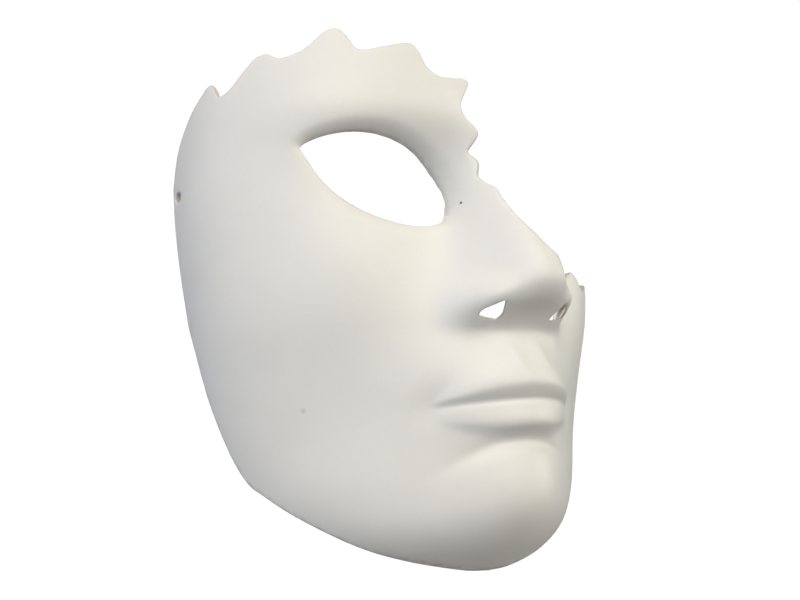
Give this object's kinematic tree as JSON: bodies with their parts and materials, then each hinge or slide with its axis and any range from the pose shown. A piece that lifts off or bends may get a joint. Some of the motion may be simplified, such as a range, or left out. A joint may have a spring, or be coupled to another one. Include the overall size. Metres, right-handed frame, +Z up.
{
  "type": "masquerade mask",
  "caption": "Rigid full-face masquerade mask with a slanted eye opening, closed lips and a jagged broken upper edge, lined with felt and foam and tied on through holes in its rim.",
  "frame": {"origin": "on the eye line, in the middle of the rear rim plane, where the wearer's face comes in", "axes": "+Z up as worn, the mask looks along -Y, +X towards the wearer's left"},
  "size_m": [0.152, 0.0913, 0.1694],
  "materials": {
    "shell_white": "matt white coating with a faint soft sheen",
    "lining_felt": "thin pressed wool felt, slightly fuzzy",
    "pad_foam": "soft foam with a brushed fabric face"
  },
  "bodies": {
    "root": {"shell": "shell_white", "lining_right": "lining_felt", "lining_left": "lining_felt", "lining_chin": "lining_felt", "forehead_pad": "pad_foam", "cheek_pad_right": "pad_foam", "cheek_pad_left": "pad_foam", "chin_pad": "pad_foam"}
  },
  "joints": []
}
